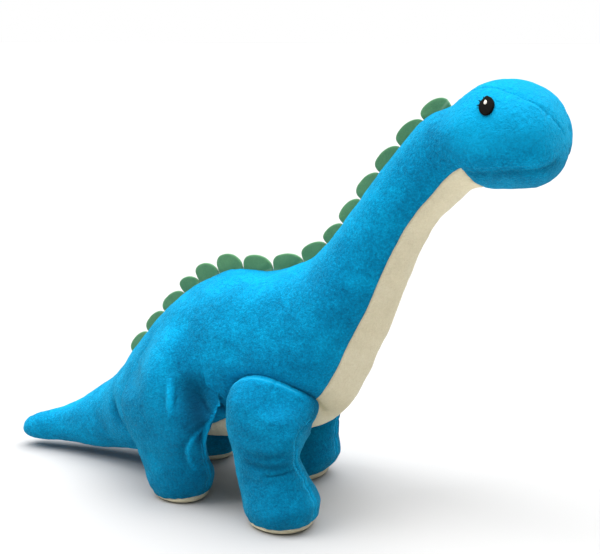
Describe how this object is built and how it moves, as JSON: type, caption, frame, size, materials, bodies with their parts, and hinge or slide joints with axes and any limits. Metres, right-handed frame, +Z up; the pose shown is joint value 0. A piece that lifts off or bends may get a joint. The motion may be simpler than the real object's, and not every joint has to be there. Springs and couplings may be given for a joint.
{
  "type": "stuffed dinosaur",
  "caption": "Stuffed long-necked dinosaur in blue plush with a cream chest, a green felt crest and embroidered eyes, standing on soft legs with the tail on the ground behind.",
  "frame": {"origin": "on the ground, below the middle of the toy's length and width", "axes": "+X towards the nose, +Y towards the toy's left side, +Z up"},
  "size_m": [0.5784, 0.179, 0.404],
  "materials": {
    "blue_plush": "short velvety pile with a soft sheen",
    "cream_plush": "short velvety pile, matte",
    "green_felt": "flat felt, matte",
    "filling": "loose polyester fibre",
    "black_thread": "satin stitch, slight gloss",
    "white_thread": "satin stitch, slight gloss"
  },
  "bodies": {
    "trunk": {"trunk_filling": "filling", "side_panel_right": "blue_plush", "side_panel_left": "blue_plush", "front_panel": "cream_plush", "crest_scallop_01": "green_felt", "crest_scallop_02": "green_felt", "crest_scallop_03": "green_felt", "crest_scallop_04": "green_felt", "crest_scallop_05": "green_felt", "crest_scallop_06": "green_felt", "crest_scallop_07": "green_felt", "crest_scallop_08": "green_felt"},
    "neck_lower": {"neck_lower_filling": "filling", "crest_scallop_09": "green_felt", "crest_scallop_10": "green_felt", "crest_scallop_11": "green_felt"},
    "neck_upper": {"neck_upper_filling": "filling", "crest_scallop_12": "green_felt", "crest_scallop_13": "green_felt", "crest_scallop_14": "green_felt"},
    "head": {"head_filling": "filling", "chin_panel": "blue_plush", "forehead_gusset": "blue_plush", "eye_right": "black_thread", "eye_glint_right": "white_thread", "eye_lashes_right": "black_thread", "eye_left": "black_thread", "eye_glint_left": "white_thread", "eye_lashes_left": "black_thread", "crest_scallop_15": "green_felt"},
    "tail_root": {"tail_root_filling": "filling"},
    "tail_tip": {"tail_tip_filling": "filling"},
    "front_right_leg": {"front_right_leg_outer": "blue_plush", "front_right_leg_inner": "blue_plush", "front_right_sole": "cream_plush", "front_right_leg_filling": "filling"},
    "front_left_leg": {"front_left_leg_outer": "blue_plush", "front_left_leg_inner": "blue_plush", "front_left_sole": "cream_plush", "front_left_leg_filling": "filling"},
    "hind_right_leg": {"hind_right_leg_outer": "blue_plush", "hind_right_leg_inner": "blue_plush", "hind_right_sole": "cream_plush", "hind_right_leg_filling": "filling"},
    "hind_left_leg": {"hind_left_leg_outer": "blue_plush", "hind_left_leg_inner": "blue_plush", "hind_left_sole": "cream_plush", "hind_left_leg_filling": "filling"}
  },
  "joints": [
    {"name": "neck_nod", "type": "hinge", "parent": "trunk", "child": "neck_lower", "pos_m": [0.09574, 0, 0.202], "axis": [0, 1, 0], "range_deg": [-10, 15], "stiffness_Nm_per_rad": 4, "deforming": ["side_panel_right", "side_panel_left", "front_panel", "crest_scallop_08", "crest_scallop_09"]},
    {"name": "neck_sway", "type": "hinge", "parent": "neck_lower", "child": "neck_upper", "pos_m": [0.14199, 0, 0.2825], "axis": [-0.6429, 0, 0.7659], "range_deg": [-25, 25], "stiffness_Nm_per_rad": 3, "deforming": ["crest_scallop_11", "crest_scallop_12"]},
    {"name": "head_nod", "type": "hinge", "parent": "neck_upper", "child": "head", "pos_m": [0.18924, 0, 0.339], "axis": [0, 1, 0], "range_deg": [-15, 20], "stiffness_Nm_per_rad": 2, "deforming": ["crest_scallop_14", "crest_scallop_15"]},
    {"name": "tail_wag", "type": "hinge", "parent": "trunk", "child": "tail_root", "pos_m": [-0.16926, 0, 0.0465], "axis": [0, 0, 1], "range_deg": [-20, 20], "stiffness_Nm_per_rad": 1},
    {"name": "tail_lift", "type": "hinge", "parent": "tail_root", "child": "tail_tip", "pos_m": [-0.23726, -0.011, 0.0255], "axis": [0, 1, 0], "range_deg": [0, 25], "stiffness_Nm_per_rad": 0.4},
    {"name": "front_right_leg_swing", "type": "hinge", "parent": "trunk", "child": "front_right_leg", "pos_m": [0.05374, -0.07, 0.12], "axis": [0, 1, 0], "range_deg": [-20, 8], "stiffness_Nm_per_rad": 2},
    {"name": "front_left_leg_swing", "type": "hinge", "parent": "trunk", "child": "front_left_leg", "pos_m": [0.05374, 0.07, 0.12], "axis": [0, 1, 0], "range_deg": [-20, 6], "stiffness_Nm_per_rad": 2},
    {"name": "hind_right_leg_swing", "type": "hinge", "parent": "trunk", "child": "hind_right_leg", "pos_m": [-0.06126, -0.07, 0.115], "axis": [0, 1, 0], "range_deg": [-8, 14], "stiffness_Nm_per_rad": 2},
    {"name": "hind_left_leg_swing", "type": "hinge", "parent": "trunk", "child": "hind_left_leg", "pos_m": [-0.06126, 0.07, 0.115], "axis": [0, 1, 0], "range_deg": [-14, 6], "stiffness_Nm_per_rad": 2}
  ]
}
